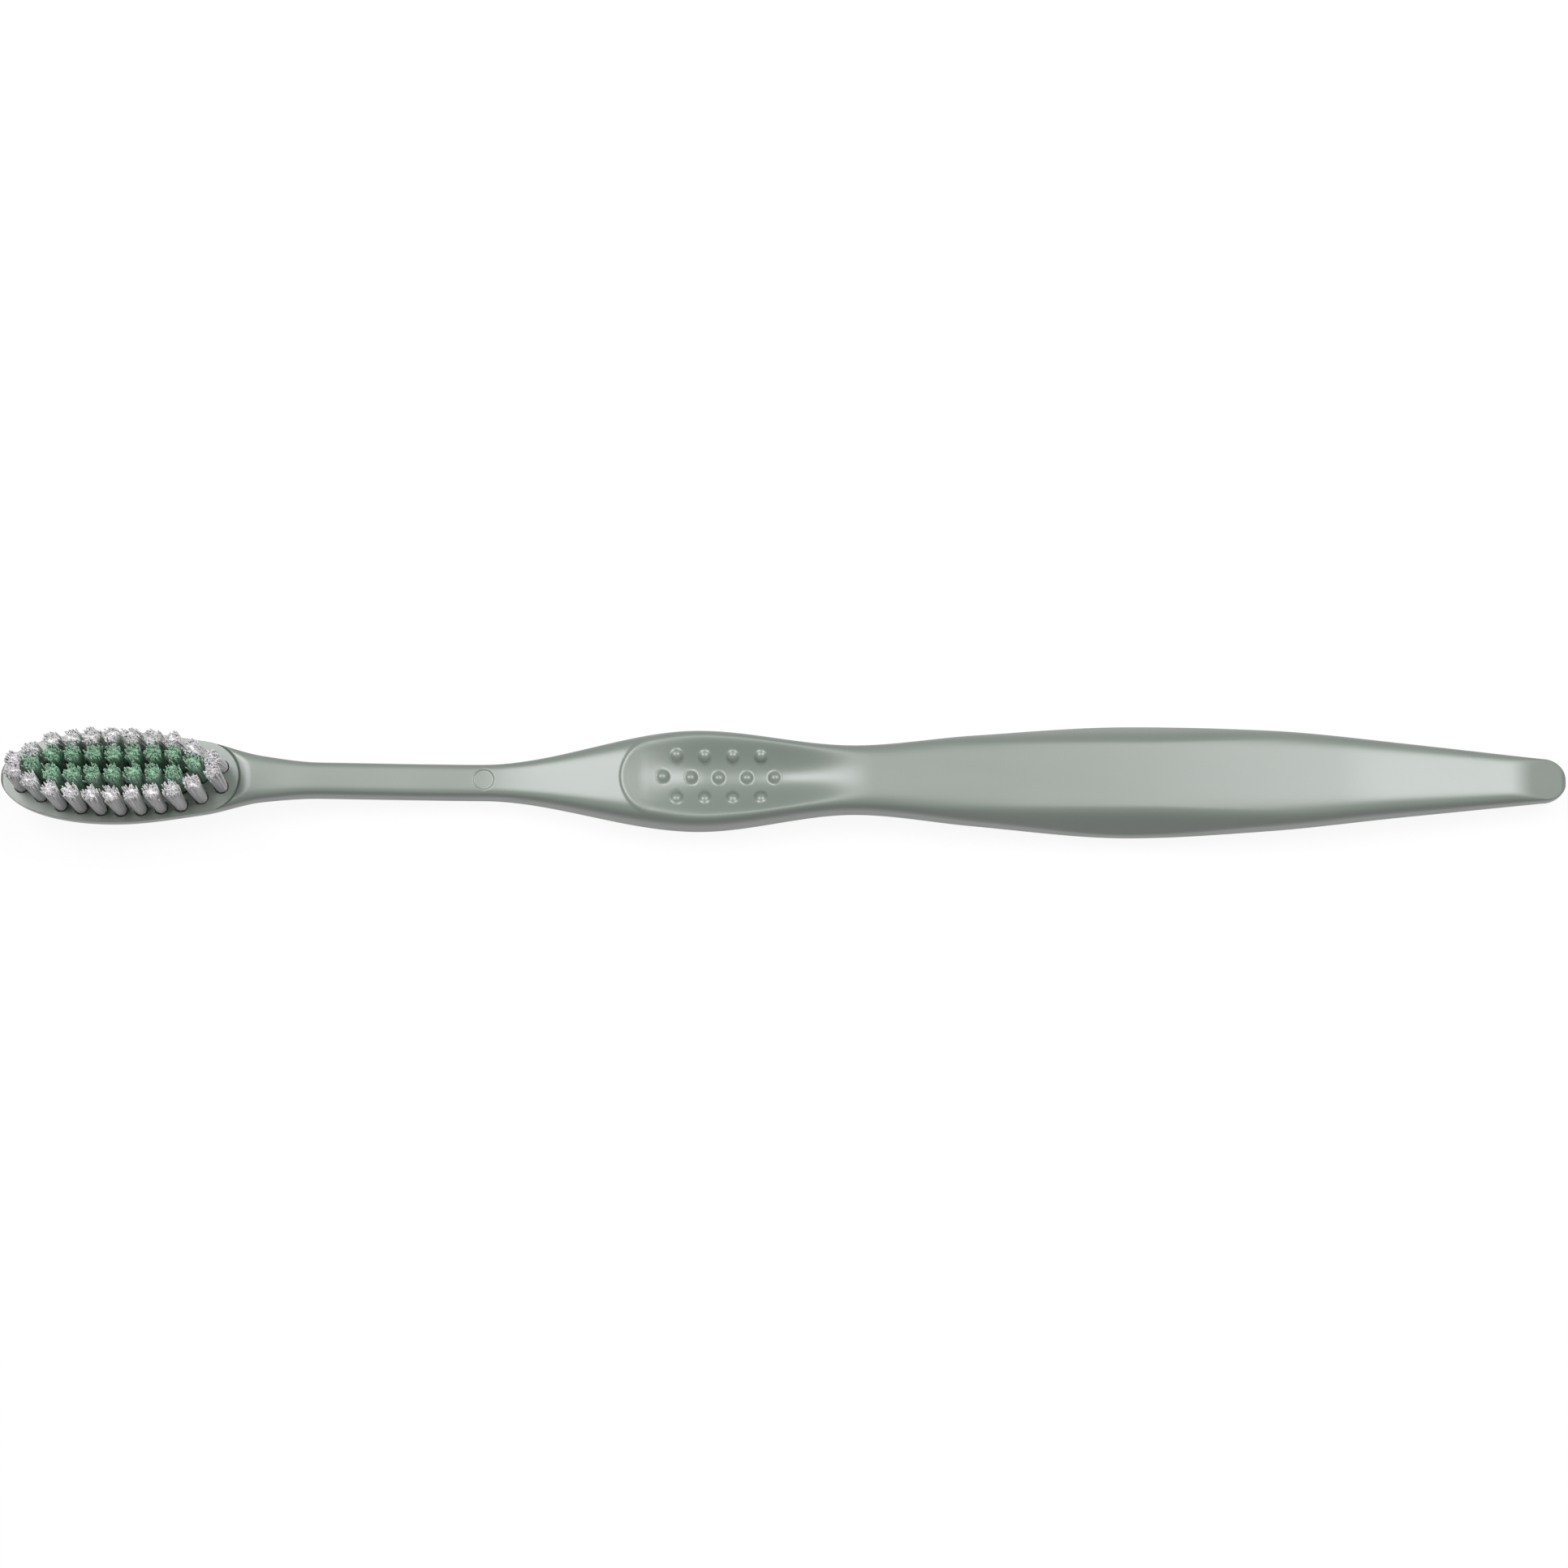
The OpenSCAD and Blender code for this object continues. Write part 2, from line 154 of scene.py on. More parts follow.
# Places along the brush
NECK_START_S = HEAD_LEN + SHOULDER_LEN
NECK_END_S = NECK_START_S + NECK_LEN
MARK_S = NECK_END_S + MARK_AFTER
THUMB_S = NECK_END_S + THUMB_RISE
WAIST_S = THUMB_S + THUMB_FALL
DISH_END_S = WAIST_S + DISH_AFTER
DISH_S = DISH_END_S - DISH_LEN
NUBS_END_S = DISH_S + NUB_START + MIDDLE_NUBS * NUB_PITCH
GRIP_S = WAIST_S + GRIP_RISE
CAP_S = BRUSH_LEN - CAP_LEN
BEVEL_S = BRUSH_LEN - BEVEL_LEN
REAR_S = (GRIP_S + CAP_S) / 2
LAND_PLACES = (THUMB_S - LAND_LEN / 2, GRIP_S)

# Sections: the powers of their outlines, and where they are widest
TOE_POWER = 2.1
HEAD_TOP_POWER = 4.5
BODY_TOP_POWER = 6.2
HEAD_BACK_POWER = 3.2
BODY_BACK_POWER = 2.3
WIDE_SHARE = 0.3

# How the width changes from one key to the next: shares of the way, and of the change
SHOULDER_SHARES = ((0.43, 0.33), (0.72, 0.82))
GRIP_RISE_SHARES = ((0.43, 0.49),)
GRIP_FALL_SHARES = ((0.33, 0.18), (0.66, 0.58))
# Height of the rear of the grip, above and below: shares of the change to the tail
REAR_TOP_SHARE = 0.1
REAR_LIFT_SHARE = 0.55

# Ridge along each side: its place at the waist, grip, rear and tail and the width of its flank,
# in shares of the half width, and its rounding, in shares of the rise
RIDGE_SHARES = (1, 0.76, 0.98, 1)
FLANK_SHARE = 0.36
RIDGE_ROUND_SHARE = 0.5

# Mesh of the handle: rings at its two ends, and points from a section's side to its middle line
TOE_RINGS = 48
CAP_RINGS = 20
TOP_STEPS = 60
UNDER_STEPS = 20
# Where each stretch of rings ends, from the head's widest place on, and their spacing on it
RING_STRETCHES = (
    (HEAD_LEN - HEEL_R, 0.35),
    (HEAD_LEN + 2, 0.085),
    (MARK_S - MARK_D, 0.8),
    (MARK_S + MARK_D, 0.1),
    (DISH_S - 0.5, 0.8),
    (NUBS_END_S, 0.155),
    (BEVEL_S - 1, 0.9),
    (CAP_S, 0.13),
)
# Distance from each end of a land to the rings beside it
LAND_EDGE = 0.02
# Samples along a section's curve, and how much closer than even its points lie at the side
CURVE_SAMPLES = 500
SIDE_CLOSENESS = 0.45
# Smallest half width that a share is taken of
TINY_WIDTH = 0.001

# Tufts and their holes
COL_PITCH = 2.42
FIRST_COL = 2.6
OUTER_ROW_Y = 4.06
INNER_ROW_Y = 1.34
OUTER_ROW_SHARES = (0.28, 0.57, 0.85, 0.93, 0.98, 1, 0.98, 0.93, 0.86, 0.63, 0.3)
INNER_ROW_SHARES = (0, 0, 0.96, 0.99, 1, 1, 1, 0.98, 0.95, 0, 0)
HOLE_D = 1.68
HOLE_DEPTH = 3
HOLE_FLARE = 0.04
HOLE_SIDES = 40
BRISTLE_TOP = cad_box[1].z / MM
BRISTLE_LEN = BRISTLE_TOP - FACE_Z
ROOT_DEPTH = 1.1

# How far the tips lean over, in the rows on the far side and on the near side
LEANS = {
    "white": ((-0.15, -0.85), (-0.15, 0.15)),
    "green": ((0, -0.2), (0, 0.1)),
}
LEAN_POWER = 1.2
# Added to the lean along the brush in the column at the toe
TOE_LEAN = 0.45

# Filaments of a tuft
FILAMENTS = 72
FILAMENT_D = 0.205
FILAMENT_SIDES = 5
ROOT_R = 0.67
TIP_R = 1.08
TIP_SCATTER = 0.1
UNEVEN = 0.7
UNEVEN_POWER = 1.5
BEND = (1.1, 1.7)
# Turn from one filament to the next that spreads them evenly over the tuft
GOLDEN_TURN = 2.39996
# A filament's points above the face, in shares of its length, and its taper from the root on
FILAMENT_SHARES = (0, 0.12, 0.3, 0.5, 0.7, 0.86, 0.97, 1)
FILAMENT_TAPER = (1, 1, 1, 1, 1, 1, 1, 0.85, 0.4)
# Clumps at the tips, and the share of the way that they pull the others in
CLUMPS = 9
CLUMP_PULL = (0.1, 0.5)
# Stray filaments, which reach out further and end lower
STRAYS = 2
STRAY_REACH = (1.15, 1.5)
STRAY_BEND = 2.2
STRAY_DROP = 0.4

# Core of a tuft: its radius at the face, and at the top as a share of the tips' radius
CORE_R = 0.76
CORE_TIP_SHARE = 0.92
CORE_POWER = 1.4
CORE_SIDES = 32
CORE_SHARES = (0, 0.05, 0.2, 0.4, 0.6, 0.8, 0.97)
# Depth of its grooves, and how much its sides vary, in shares of its radius
CORE_GROOVE = 0.09
CORE_UNEVEN = 0.06

# Colours of the plastic's clouds and the brass's marks, each from a level of the noise on
PLASTIC_COLORS = (
    (0.3, (0.143, 0.172, 0.147)), (0.5, (0.151, 0.181, 0.156)), (0.7, (0.161, 0.192, 0.166)),
)
BRASS_COLORS = ((0.3, (0.52, 0.38, 0.16)), (0.7, (0.66, 0.5, 0.23)))
# Colours of the filaments at the face, towards the tips, and at their ends, with painted light
# and shade:
# white: the face colour is painted light that lifts the shade among the tufts, and the darker end
# colour is painted shade on the lit tips
WHITE_TONES_WITH_PAINTED_LIGHT_AND_SHADE = ((0.95, 0.95, 0.95), (0.9, 0.89, 0.9), (0.66, 0.65, 0.66))
# green: the darker face colour is painted shade among the tufts, and the darker end colour is
# painted shade on the lit tips
GREEN_TONES_WITH_PAINTED_SHADE = ((0.24, 0.42, 0.29), (0.43, 0.64, 0.5), (0.34, 0.5, 0.39))

# Studio
FLOOR_REACH = 8000
FLOOR_GAP = 0.01
FLOOR_GLOW_SHARE = 0.92
WORLD_LIGHT = 0.17


def ease(start, end, value):
    """Smooth change from 0 to 1 between two values."""
    t = np.clip((value - start) / (end - start), 0, 1)
    return t * t * (3 - 2 * t)


def soft_min(a, b, radius):
    """Lower of two heights, with the corner between them rounded."""
    h = np.clip(0.5 + 0.5 * (b - a) / radius, 0, 1)
    return b * (1 - h) + a * h - radius * h * (1 - h)


def soft_max(a, b, radius):
    """Higher of two heights, with the corner between them rounded."""
    return -soft_min(-a, -b, radius)


def round_end(distance, length, power):
    """Share of the full size that is left near a rounded end."""
    left = np.clip(1 - distance / length, 0, 1)
    return np.maximum(1 - left**power, 0) ** (1 / power)


class Curve:
    """Smooth curve through keys, each a place along the brush and a value."""

    def __init__(self, *keys):
        self.place, self.value = np.array(keys, float).T
        slope = np.diff(self.value) / np.diff(self.place)
        before, after = slope[:-1], slope[1:]
        same_way = before * after > 0
        self.slope = np.zeros(len(keys))
        self.slope[1:-1][same_way] = (2 * before * after)[same_way] / (before + after)[same_way]
        self.slope[-1] = slope[-1]

    def __call__(self, s):
        i = np.clip(np.searchsorted(self.place, s) - 1, 0, len(self.place) - 2)
        step = self.place[i + 1] - self.place[i]
        t = np.clip((s - self.place[i]) / step, 0, 1)
        eased = t * t * (3 - 2 * t)
        lead_in = t * (1 - t) ** 2 * step * self.slope[i]
        lead_out = t * t * (1 - t) * step * self.slope[i + 1]
        return self.value[i] * (1 - eased) + self.value[i + 1] * eased + lead_in - lead_out


def between(a, b, shares):
    """Keys on the way from one key to the next."""
    return [(a[0] + (b[0] - a[0]) * way, a[1] + (b[1] - a[1]) * change) for way, change in shares]


HEAD_KEY = (HEAD_WIDE_AT, HEAD_W / 2)
NECK_KEY = (NECK_START_S, NECK_W / 2)
WAIST_KEY = (WAIST_S, WAIST_W / 2)
GRIP_KEY = (GRIP_S, GRIP_W / 2)
CAP_KEY = (CAP_S, TAIL_W / 2)
side_line = Curve(
    HEAD_KEY, *between(HEAD_KEY, NECK_KEY, SHOULDER_SHARES),
    NECK_KEY, (NECK_END_S, NECK_W / 2), (THUMB_S, THUMB_W / 2),
    WAIST_KEY, *between(WAIST_KEY, GRIP_KEY, GRIP_RISE_SHARES),
    GRIP_KEY, *between(GRIP_KEY, CAP_KEY, GRIP_FALL_SHARES), CAP_KEY,
)
GRIP_TOP = GRIP_T - REST_FLAT
TAIL_TOP = TAIL_LIFT + TAIL_T
top_line = Curve(
    (0, FACE_Z + HEEL_STEP), (HEAD_LEN, FACE_Z + HEEL_STEP), (NECK_START_S, NECK_TOP_Z),
    (NECK_END_S, NECK_END_Z), (THUMB_S, THUMB_T - REST_FLAT),
    (WAIST_S, WAIST_LIFT + WAIST_T), (GRIP_S, GRIP_TOP),
    (REAR_S, GRIP_TOP + (TAIL_TOP - GRIP_TOP) * REAR_TOP_SHARE), (CAP_S, TAIL_TOP),
)
under_line = Curve(
    (0, FACE_Z - HEAD_T), (HEAD_LEN, FACE_Z - HEAD_T), (NECK_END_S, NECK_END_Z - NECK_T),
    (THUMB_S - LAND_LEN, -REST_FLAT), (THUMB_S, -REST_FLAT), (WAIST_S, WAIST_LIFT),
    (GRIP_S, -REST_FLAT), (REAR_S, TAIL_LIFT * REAR_LIFT_SHARE), (CAP_S, TAIL_LIFT),
)
ridge_line = Curve(*zip((WAIST_S, GRIP_S, REAR_S, CAP_S), RIDGE_SHARES))


def half_width(s):
    """Half the handle's width."""
    toe = round_end(s, HEAD_WIDE_AT, TOE_POWER)
    cap = round_end(BRUSH_LEN - s, CAP_LEN, 2)
    return side_line(s) * toe * cap


def end_share(s):
    """Share of the full height that is left near the handle's rounded ends."""
    return np.minimum(round_end(s, TOE_ROUND, 2), round_end(BRUSH_LEN - s, CAP_LEN, 2))


def to_neck(s):
    """0 at the head, 1 from the neck on."""
    return ease(HEAD_LEN - HEEL_R, NECK_START_S, s)


def widest_z(s):
    """Height at which the handle is widest."""
    low, high = under_line(s), top_line(s)
    middle = low + (high - low) * WIDE_SHARE
    return (FACE_Z - RIM_DROP) * (1 - to_neck(s)) + middle * to_neck(s)


def top_power(s):
    """Power of the section's outline above its widest height."""
    return HEAD_TOP_POWER + (BODY_TOP_POWER - HEAD_TOP_POWER) * to_neck(s)


def back_power(s):
    """Power of the section's outline below its widest height."""
    return HEAD_BACK_POWER + (BODY_BACK_POWER - HEAD_BACK_POWER) * to_neck(s)


def with_ridge(s, out_share, rise_share):
    """Share of the rise at a share of the half width, with the ridge along the body's sides."""
    flank = 1 + (ridge_line(s) - out_share) / FLANK_SHARE
    return np.maximum(soft_min(rise_share, flank, RIDGE_ROUND_SHARE), 0)


def crown_z(s, y):
    """Height of the top before anything is sunk into it."""
    share = np.clip(np.abs(y) / np.maximum(half_width(s), TINY_WIDTH), 0, 1)
    rise = (top_line(s) - widest_z(s)) * end_share(s)
    power = top_power(s)
    return widest_z(s) + rise * with_ridge(s, share, (1 - share**power) ** (1 / power))


def dish_outline(s, y):
    """0 in the middle of the thumb's hollow, 1 on its outline."""
    before = np.clip(1 - (s - DISH_S) / DISH_NOSE, 0, 1)
    return np.hypot(before, y / np.maximum(half_width(s) - DISH_RIM, TINY_WIDTH))


def dish_depth(s, y):
    """Depth of the thumb's hollow."""
    along = ease(DISH_S, DISH_S + DISH_LEAD, s) * (1 - ease(THUMB_S + DISH_HOLD, DISH_END_S, s))
    return DISH_DEPTH * along * np.clip(1 - dish_outline(s, y) ** 2, 0, 1) ** DISH_WALL_POWER


def nose_lip(s, y):
    """Height of the rounded lip round the blunt end of the hollow."""
    inside = (1 - dish_outline(s, y)) * LIP_REACH
    profile = ease(*LIP_RISE, inside) * (1 - ease(*LIP_FALL, inside))
    fade_start, fade_end = LIP_FADE
    return LIP_H * profile * (1 - ease(DISH_S + fade_start, DISH_S + fade_end, s))


def nub_places():
    """Places of the nubs in their three rows along the hollow."""
    first = DISH_S + NUB_START
    for row, count, start in NUB_ROWS:
        for i in range(count):
            yield first + (i + start) * NUB_PITCH, row * NUB_ROW_PITCH


def add_nubs(s, y, z):
    """Raise the domed nubs out of the hollow."""
    nub_r = (NUB_D**2 / 4 + NUB_H**2) / (2 * NUB_H)
    for nub_s, nub_y in nub_places():
        middle = crown_z(nub_s, nub_y) - dish_depth(nub_s, nub_y) + NUB_H - nub_r
        dome = middle + np.sqrt(np.maximum(nub_r**2 - (s - nub_s) ** 2 - (y - nub_y) ** 2, 0))
        z = np.where(dome > middle, soft_max(z, dome, NUB_FILLET), z)
    return z


def sink_face(s, y, z):
    """Sink the bristle face, with the curved step that ends it at the heel."""
    arc_s = HEAD_LEN - HEEL_R
    past_arc = np.hypot(s - arc_s, y) - HEEL_R
    past_face = np.minimum(s - (HEAD_LEN - HEEL_OPEN), past_arc) + HEEL_LEAD
    wall = HEEL_WALL_H * ease(0, HEEL_WALL_LEN, past_face)
    slope = np.maximum(past_face - HEEL_WALL_LEN, 0) * (HEEL_STEP - HEEL_WALL_H) / HEEL_SLOPE_LEN
    return soft_min(z, FACE_Z + wall + slope, RIM_ROUND)


def top_z(s, y, crown):
    """Height of the finished top, from that of its crown."""
    z = sink_face(s, y, crown - dish_depth(s, y) + nose_lip(s, y))
    z = add_nubs(s, y, z)
    from_mark = np.hypot(s - MARK_S, y)
    z = z - MARK_DEPTH * (1 - ease(MARK_D / 2 - MARK_EDGE, MARK_D / 2, from_mark))
    bevel = crown_z(BEVEL_S, 0) - (s - BEVEL_S) * BEVEL_DROP / BEVEL_LEN
    return soft_min(z, bevel, BEVEL_ROUND)


def under_z(s, y, keel):
    """Height of the finished underside: flat on the table at the two lands."""
    on_land = np.zeros(np.broadcast(s, y).shape, bool)
    for land_s in LAND_PLACES:
        on_land |= (np.abs(s - land_s) <= LAND_LEN / 2) & (np.abs(y) <= LAND_W / 2)
    return np.maximum(keel, np.where(on_land, 0, LAND_H))


def steps(start, end, step):
    """Places from start to end, about one step apart."""
    return np.linspace(start, end, max(round((end - start) / step), 1) + 1)


def ring_places():
    """Where the handle's rings lie, closest where its shape has detail."""
    toe_turn = np.linspace(0, math.pi / 2, TOE_RINGS + 1)[1:]
    cap_turn = np.linspace(0, math.pi / 2, CAP_RINGS + 1)[:-1]
    places = [HEAD_WIDE_AT * (1 - np.cos(toe_turn)), CAP_S + CAP_LEN * np.sin(cap_turn)]
    start = HEAD_WIDE_AT
    for end, step in RING_STRETCHES:
        places.append(steps(start, end, step))
        start = end
    for land_s in LAND_PLACES:
        for end in (land_s - LAND_LEN / 2, land_s + LAND_LEN / 2):
            places.append([end - LAND_EDGE, end + LAND_EDGE])
    return np.unique(np.round(np.concatenate(places), 5))


def quarter(width, height, power, count):
    """A quarter of each section, in steps along its curve from the side to the middle line."""
    turn = np.linspace(0, math.pi / 2, CURVE_SAMPLES)
    y = width[:, None] * np.clip(np.cos(turn), 0, 1) ** (2 / power[:, None])
    z = height[:, None] * np.sin(turn) ** (2 / power[:, None])
    y[:, -1] = 0
    run = np.cumsum(np.hypot(np.diff(y), np.diff(z)), axis=1)
    run = np.pad(run / run[:, -1:], ((0, 0), (1, 0)))
    t = np.linspace(0, 1, count + 1)
    closer_at_side = t - SIDE_CLOSENESS * np.sin(math.pi * t) / math.pi
    return (
        np.array([np.interp(closer_at_side, r, row) for r, row in zip(run, y)]),
        np.array([np.interp(closer_at_side, r, row) for r, row in zip(run, z)]),
    )


def new_object(name, points, faces, smooth=True):
    """Object from points in millimetres."""
    mesh = bpy.data.meshes.new(name)
    mesh.from_pydata((np.asarray(points) * MM).tolist(), [], faces)
    mesh.validate()
    obj = bpy.data.objects.new(name, mesh)
    bpy.context.collection.objects.link(obj)
    if smooth:
        mesh.shade_smooth()
    return obj


def make_handle():
    """Skin of the handle: rings from the toe to the tail, closed by a point at each end."""
    s = ring_places()
    reach, middle = half_width(s), widest_z(s)
    full_rise = (top_line(s) - middle) * end_share(s)
    full_drop = (middle - under_line(s)) * end_share(s)
    top_y, top_rise = quarter(reach, full_rise, top_power(s), TOP_STEPS)
    low_y, low_drop = quarter(reach, full_drop, back_power(s), UNDER_STEPS)
    s, reach, middle, full_rise = (each[:, None] for each in (s, reach, middle, full_rise))
    top_rise = full_rise * with_ridge(s, top_y / reach, top_rise / full_rise)
    y_over = np.hstack([top_y, -top_y[:, -2::-1]])
    rise = np.hstack([top_rise, top_rise[:, -2::-1]])
    y_under = np.hstack([-low_y[:, 1:], low_y[:, -2:0:-1]])
    drop = np.hstack([low_drop[:, 1:], low_drop[:, -2:0:-1]])
    y = np.hstack([y_over, y_under])
    z = np.hstack([top_z(s, y_over, middle + rise), under_z(s, y_under, middle - drop)])
    x = np.broadcast_to(s - BRUSH_LEN / 2, y.shape)
    rings, n = y.shape
    toe = [-BRUSH_LEN / 2, 0, widest_z(0.0)]
    tail = [BRUSH_LEN / 2, 0, widest_z(BRUSH_LEN)]
    points = np.vstack([np.stack([x, y, z], axis=2).reshape(-1, 3), toe, tail])
    around = np.arange(n)
    after = (around + 1) % n
    faces = []
    for ring in range(rings - 1):
        a, b = ring * n + around, ring * n + after
        faces += np.stack([a, a + n, b + n, b], axis=1).tolist()
    last = (rings - 1) * n
    faces += [[len(points) - 2, int(i), int(j)] for i, j in zip(around, after)]
    faces += [[len(points) - 1, last + int(j), last + int(i)] for i, j in zip(around, after)]
    return new_object("handle_skin", points, faces)


def row_places(side, y, shares, columns):
    """Places of the tufts in some columns of a row."""
    return [(FIRST_COL + COL_PITCH * i, side * y * shares[i]) for i in columns]


COLUMNS = range(len(OUTER_ROW_SHARES))
WHITE_PLACES = (row_places(-1, OUTER_ROW_Y, OUTER_ROW_SHARES, COLUMNS)
                + row_places(1, OUTER_ROW_Y, OUTER_ROW_SHARES, COLUMNS))
GREEN_PLACES = (row_places(1, INNER_ROW_Y, INNER_ROW_SHARES, (COLUMNS[1], COLUMNS[-2]))
                + row_places(-1, INNER_ROW_Y, INNER_ROW_SHARES, COLUMNS[2:-2])
                + row_places(1, INNER_ROW_Y, INNER_ROW_SHARES, COLUMNS[2:-2]))


def tube_faces(first, rings, sides):
    """Faces of a tube that is closed at both ends, from the number of its first point on."""
    faces = []
    for ring in range(rings - 1):
        start = first + ring * sides
        for i in range(sides):
            a, b = start + i, start + (i + 1) % sides
            faces.append((a, b, b + sides, a + sides))
    faces.append([first + sides - 1 - i for i in range(sides)])
    faces.append([first + (rings - 1) * sides + i for i in range(sides)])
    return faces


def make_hole_cutter():
    """Lathed plugs, one for each blind hole, that flare out where they leave the face."""
    r = HOLE_D / 2
    profile = [(r, FACE_Z - HOLE_DEPTH), (r, FACE_Z - HOLE_FLARE)]
    for turn in np.radians((30, 60, 80)):
        out, below = HOLE_FLARE * (1 - math.cos(turn)), HOLE_FLARE * (1 - math.sin(turn))
        profile.append((r + out, FACE_Z - below))
    profile.append((r + HOLE_FLARE, FACE_Z + HEEL_STEP))
    turns = np.linspace(0, 2 * math.pi, HOLE_SIDES, endpoint=False)
    points, faces = [], []
    for place, y in WHITE_PLACES + GREEN_PLACES:
        x = place - BRUSH_LEN / 2
        faces += tube_faces(len(points), len(profile), HOLE_SIDES)
        for radius, z in profile:
            points += [(x + radius * math.cos(t), y + radius * math.sin(t), z) for t in turns]
    return new_object("hole_cutter", points, faces, smooth=False)


def cut(obj, cutter):
    """Cut one object out of another, and keep the result as plain mesh."""
    modifier = obj.modifiers.new("holes", "BOOLEAN")
    modifier.object = cutter
    modifier.operation = "DIFFERENCE"
    modifier.solver = "MANIFOLD"
    graph = bpy.context.evaluated_depsgraph_get()
    mesh = bpy.data.meshes.new_from_object(obj.evaluated_get(graph))
    obj.modifiers.clear()
    obj.data = mesh
    bpy.data.objects.remove(cutter)


def filament_path(root, tip, length, bend):
    """Points of a filament, with the tuft's middle on the face as their origin."""
    shares = np.array(FILAMENT_SHARES)
    out = root + (tip - root) * (shares**bend)[:, None]
    path = np.column_stack([out, shares * length])
    return np.vstack([[*root, -ROOT_DEPTH], path])


def tuft_paths(rng):
    """Filaments of one tuft, which fan out and gather in small clumps at their tips."""
    order = (np.arange(FILAMENTS) + 0.5) / FILAMENTS
    turn = GOLDEN_TURN * np.arange(FILAMENTS) + rng.uniform(0, 2 * math.pi)
    spot = np.sqrt(order)[:, None] * np.column_stack([np.cos(turn), np.sin(turn)])
    root = ROOT_R * spot
    tip = TIP_R * spot + rng.normal(0, TIP_SCATTER, spot.shape)
    clumps = tip[rng.choice(FILAMENTS, CLUMPS, replace=False)]
    nearest = clumps[np.argmin(np.linalg.norm(tip[:, None] - clumps[None], axis=2), axis=1)]
    tip += rng.uniform(*CLUMP_PULL, (FILAMENTS, 1)) * (nearest - tip)
    length = BRISTLE_LEN - UNEVEN * rng.random(FILAMENTS) ** UNEVEN_POWER
    bend = rng.uniform(*BEND, FILAMENTS)
    strays = rng.choice(FILAMENTS, STRAYS, replace=False)
    tip[strays] *= rng.uniform(*STRAY_REACH)
    bend[strays] = STRAY_BEND
    length[strays] -= STRAY_DROP
    return [filament_path(*each) for each in zip(root, tip, length, bend)]


def tuft_core(rng):
    """Packed middle of a tuft: heights, and distances from its middle round each ring."""
    shares = np.array(CORE_SHARES)
    spread = CORE_R + (CORE_TIP_SHARE * TIP_R - CORE_R) * shares**CORE_POWER
    ribs = 1 - CORE_GROOVE * (np.arange(CORE_SIDES) % 2) - CORE_UNEVEN * rng.random(CORE_SIDES)
    radii = spread[:, None] * ribs
    radii[-1] *= rng.uniform(0.5, 1, CORE_SIDES)
    heights = (BRISTLE_LEN - UNEVEN) * shares
    return np.hstack([-ROOT_DEPTH, heights]), np.vstack([radii[0], radii])


def make_tuft(name, place, y, lean, rng):
    """One tuft as an object of thin filaments about a packed core, leaning over by a little."""
    points, faces, tone, along = [], [], [], []

    def add_tube(path, radii, tones):
        sides = radii.shape[1]
        turns = np.linspace(0, 2 * math.pi, sides, endpoint=False)
        around = np.column_stack([np.cos(turns), np.sin(turns), np.zeros(sides)])
        risen = np.clip(path[:, 2] / BRISTLE_LEN, 0, 1)
        path = path + risen[:, None] ** LEAN_POWER * np.array([*lean, 0])
        points.append((path[:, None, :] + radii[:, :, None] * around[None]).reshape(-1, 3))
        faces.extend(tube_faces(len(tone), len(path), sides))
        tone.extend(np.tile(tones, len(path)).tolist())
        along.extend(np.repeat(risen, sides).tolist())

    heights, radii = tuft_core(rng)
    middle_line = np.column_stack([np.zeros((len(heights), 2)), heights])
    add_tube(middle_line, radii, rng.random(CORE_SIDES))
    thin = np.array(FILAMENT_TAPER)[:, None] * FILAMENT_D / 2
    for path in tuft_paths(rng):
        add_tube(path, np.tile(thin, FILAMENT_SIDES), np.full(FILAMENT_SIDES, rng.random()))
    tuft = new_object(name, np.vstack(points) + (place - BRUSH_LEN / 2, y, FACE_Z), faces)
    for label, values in (("tone", tone), ("along", along)):
        tuft.data.attributes.new(label, "FLOAT", "POINT").data.foreach_set("value", values)
    return tuft


def fill(node, inputs):
    """Give a node's inputs their values, or link them to the outputs of other nodes."""
    for socket, source in inputs.items():
        if isinstance(source, bpy.types.NodeSocket):
            node.id_data.links.new(source, node.inputs[socket])
        else:
            node.inputs[socket].default_value = source


def add_node(tree, kind, inputs=None, **settings):
    """New node of a tree, with its inputs and settings."""
    node = tree.nodes.new(kind)
    for key, value in settings.items():
        setattr(node, key, value)
    fill(node, inputs or {})
    return node


def map_range(tree, value, low, high):
    """Turn a value of 0 to 1 into one of low to high."""
    inputs = {"Value": value, "To Min": low, "To Max": high}
    return add_node(tree, "ShaderNodeMapRange", inputs).outputs["Result"]


def noise(tree, place, **inputs):
    """Level of a noise texture at a place."""
    return add_node(tree, "ShaderNodeTexNoise", {"Vector": place, **inputs}).outputs["Fac"]


def bump(tree, height, strength, distance):
    """Shading direction of a faintly uneven surface."""
    inputs = {"Height": height, "Strength": strength, "Distance": distance}
    return add_node(tree, "ShaderNodeBump", inputs).outputs["Normal"]


def color_ramp(tree, level, stops):
    """Colour at a level, from stops that are each a level and a colour."""
    ramp = add_node(tree, "ShaderNodeValToRGB", {"Fac": level})
    elements = ramp.color_ramp.elements
    for element, (position, _) in zip(elements, (stops[0], stops[-1])):
        element.position = position
    for position, _ in stops[1:-1]:
        elements.new(position)
    for element, (_, color) in zip(elements, stops):
        element.color = (*color, 1)
    return ramp.outputs["Color"]


def new_material(name):
    """Material with a node tree, and that tree."""
    material = bpy.data.materials.new(name)
    material.use_nodes = True
    return material, material.node_tree


